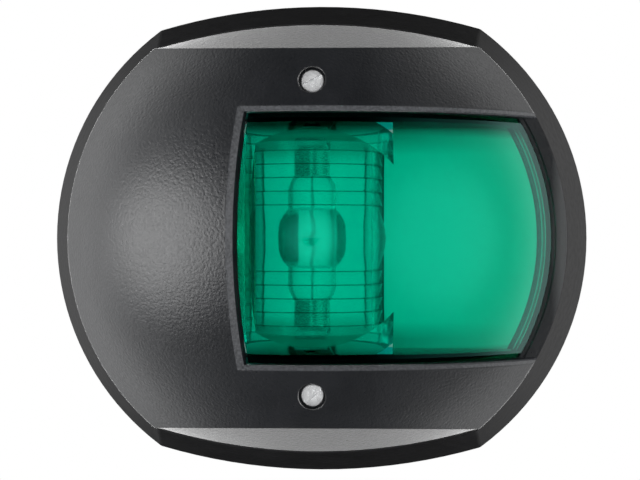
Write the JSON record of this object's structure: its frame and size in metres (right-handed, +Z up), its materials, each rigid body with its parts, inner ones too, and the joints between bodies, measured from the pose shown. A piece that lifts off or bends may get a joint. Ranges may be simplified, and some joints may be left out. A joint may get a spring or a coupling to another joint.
{
  "type": "navigation light",
  "caption": "Side-mounted boat navigation light: oval black base and domed cover with a green wrap-round lens window, ribbed inner lens and tubular bulb.",
  "frame": {"origin": "centre of the back face of the mounting gasket, on the hull plane", "axes": "+Z up, +X forward along the hull, +Y into the hull; the lamp stands out towards -Y"},
  "size_m": [0.125, 0.055, 0.109],
  "materials": {
    "shell_black": "fine moulded grain, satin black",
    "foam_black": "closed-cell sheet, matt",
    "rubber_black": "moulded rubber, matt",
    "lens_green": "clear green moulded lens, polished",
    "lens_clear": "clear ribbed lens, polished",
    "bulb_glass": "clear bulb glass",
    "cap_nickel": "nickel-plated cap",
    "tungsten": "drawn tungsten wire",
    "plastic_white": "white moulded plastic",
    "plastic_grey": "grey moulded insulator",
    "steel": "bright stainless steel",
    "brass": "bright brass strip and bar"
  },
  "bodies": {
    "base": {"base_plate": "shell_black", "mounting_gasket": "foam_black", "cable_grommet": "rubber_black", "cover_seal": "rubber_black", "reflector_plate": "plastic_white", "reflector_screws": "steel", "bulb_holder": "plastic_white", "bulb_holder_screws": "steel", "lead_strips": "brass", "terminal_block": "plastic_grey", "terminal_clamps": "brass", "threaded_insert_upper": "brass", "threaded_insert_lower": "brass"},
    "cover": {"cover_shell": "shell_black", "green_lens": "lens_green", "lens_gasket": "rubber_black"},
    "inner_lens": {"fresnel_lens": "lens_clear"},
    "bulb": {"bulb_glass": "bulb_glass", "bulb_cap_upper": "cap_nickel", "bulb_cap_lower": "cap_nickel", "bulb_filament": "tungsten", "filament_leads": "tungsten"},
    "contact_upper": {"contact_upper": "brass"},
    "contact_lower": {"contact_lower": "brass"},
    "terminal_screw_upper": {"terminal_screw_upper": "steel"},
    "terminal_screw_lower": {"terminal_screw_lower": "steel"},
    "washer_upper": {"screw_washer_upper": "rubber_black"},
    "washer_lower": {"screw_washer_lower": "rubber_black"},
    "cover_screw_upper": {"cover_screw_upper": "steel"},
    "cover_screw_lower": {"cover_screw_lower": "steel"}
  },
  "joints": [
    {"name": "cover_lift", "type": "slide", "parent": "base", "child": "cover", "axis": [0, -1, 0], "range_m": [0, 0.06]},
    {"name": "inner_lens_unclip", "type": "slide", "parent": "base", "child": "inner_lens", "axis": [0, -1, 0], "range_m": [0, 0.002]},
    {"name": "bulb_turn", "type": "hinge", "parent": "base", "child": "bulb", "pos_m": [-0.0007, -0.03, 0], "axis": [0, 0, 1], "continuous": true},
    {"name": "contact_upper_flex", "type": "hinge", "parent": "base", "child": "contact_upper", "pos_m": [-0.0007, -0.0133, 0.02025], "axis": [-1, 0, 0], "range_deg": [0, 6], "stiffness_Nm_per_rad": 0.25},
    {"name": "contact_lower_flex", "type": "hinge", "parent": "base", "child": "contact_lower", "pos_m": [-0.0007, -0.0133, -0.02025], "axis": [1, 0, 0], "range_deg": [0, 6], "stiffness_Nm_per_rad": 0.25},
    {"name": "terminal_screw_upper_turn", "type": "hinge", "parent": "base", "child": "terminal_screw_upper", "pos_m": [-0.034, -0.01, 0.0056], "axis": [0, -1, 0], "continuous": true},
    {"name": "terminal_screw_lower_turn", "type": "hinge", "parent": "base", "child": "terminal_screw_lower", "pos_m": [-0.034, -0.01, -0.0056], "axis": [0, -1, 0], "continuous": true},
    {"name": "cover_screw_upper_withdraw", "type": "slide", "parent": "cover", "child": "washer_upper", "axis": [0, -1, 0], "range_m": [0, 0.0081]},
    {"name": "cover_screw_upper_turn", "type": "hinge", "parent": "washer_upper", "child": "cover_screw_upper", "pos_m": [0, -0.0315, 0.0333], "axis": [0, -1, 0], "range_deg": [0, 6480]},
    {"name": "cover_screw_lower_withdraw", "type": "slide", "parent": "cover", "child": "washer_lower", "axis": [0, -1, 0], "range_m": [0, 0.0081]},
    {"name": "cover_screw_lower_turn", "type": "hinge", "parent": "washer_lower", "child": "cover_screw_lower", "pos_m": [0, -0.0315, -0.0333], "axis": [0, -1, 0], "range_deg": [0, 6480]}
  ],
  "couplings": [
    {"joint": "cover_screw_upper_turn", "follows": "cover_screw_upper_withdraw", "rad_per_m": 13963},
    {"joint": "cover_screw_lower_turn", "follows": "cover_screw_lower_withdraw", "rad_per_m": 13963}
  ]
}
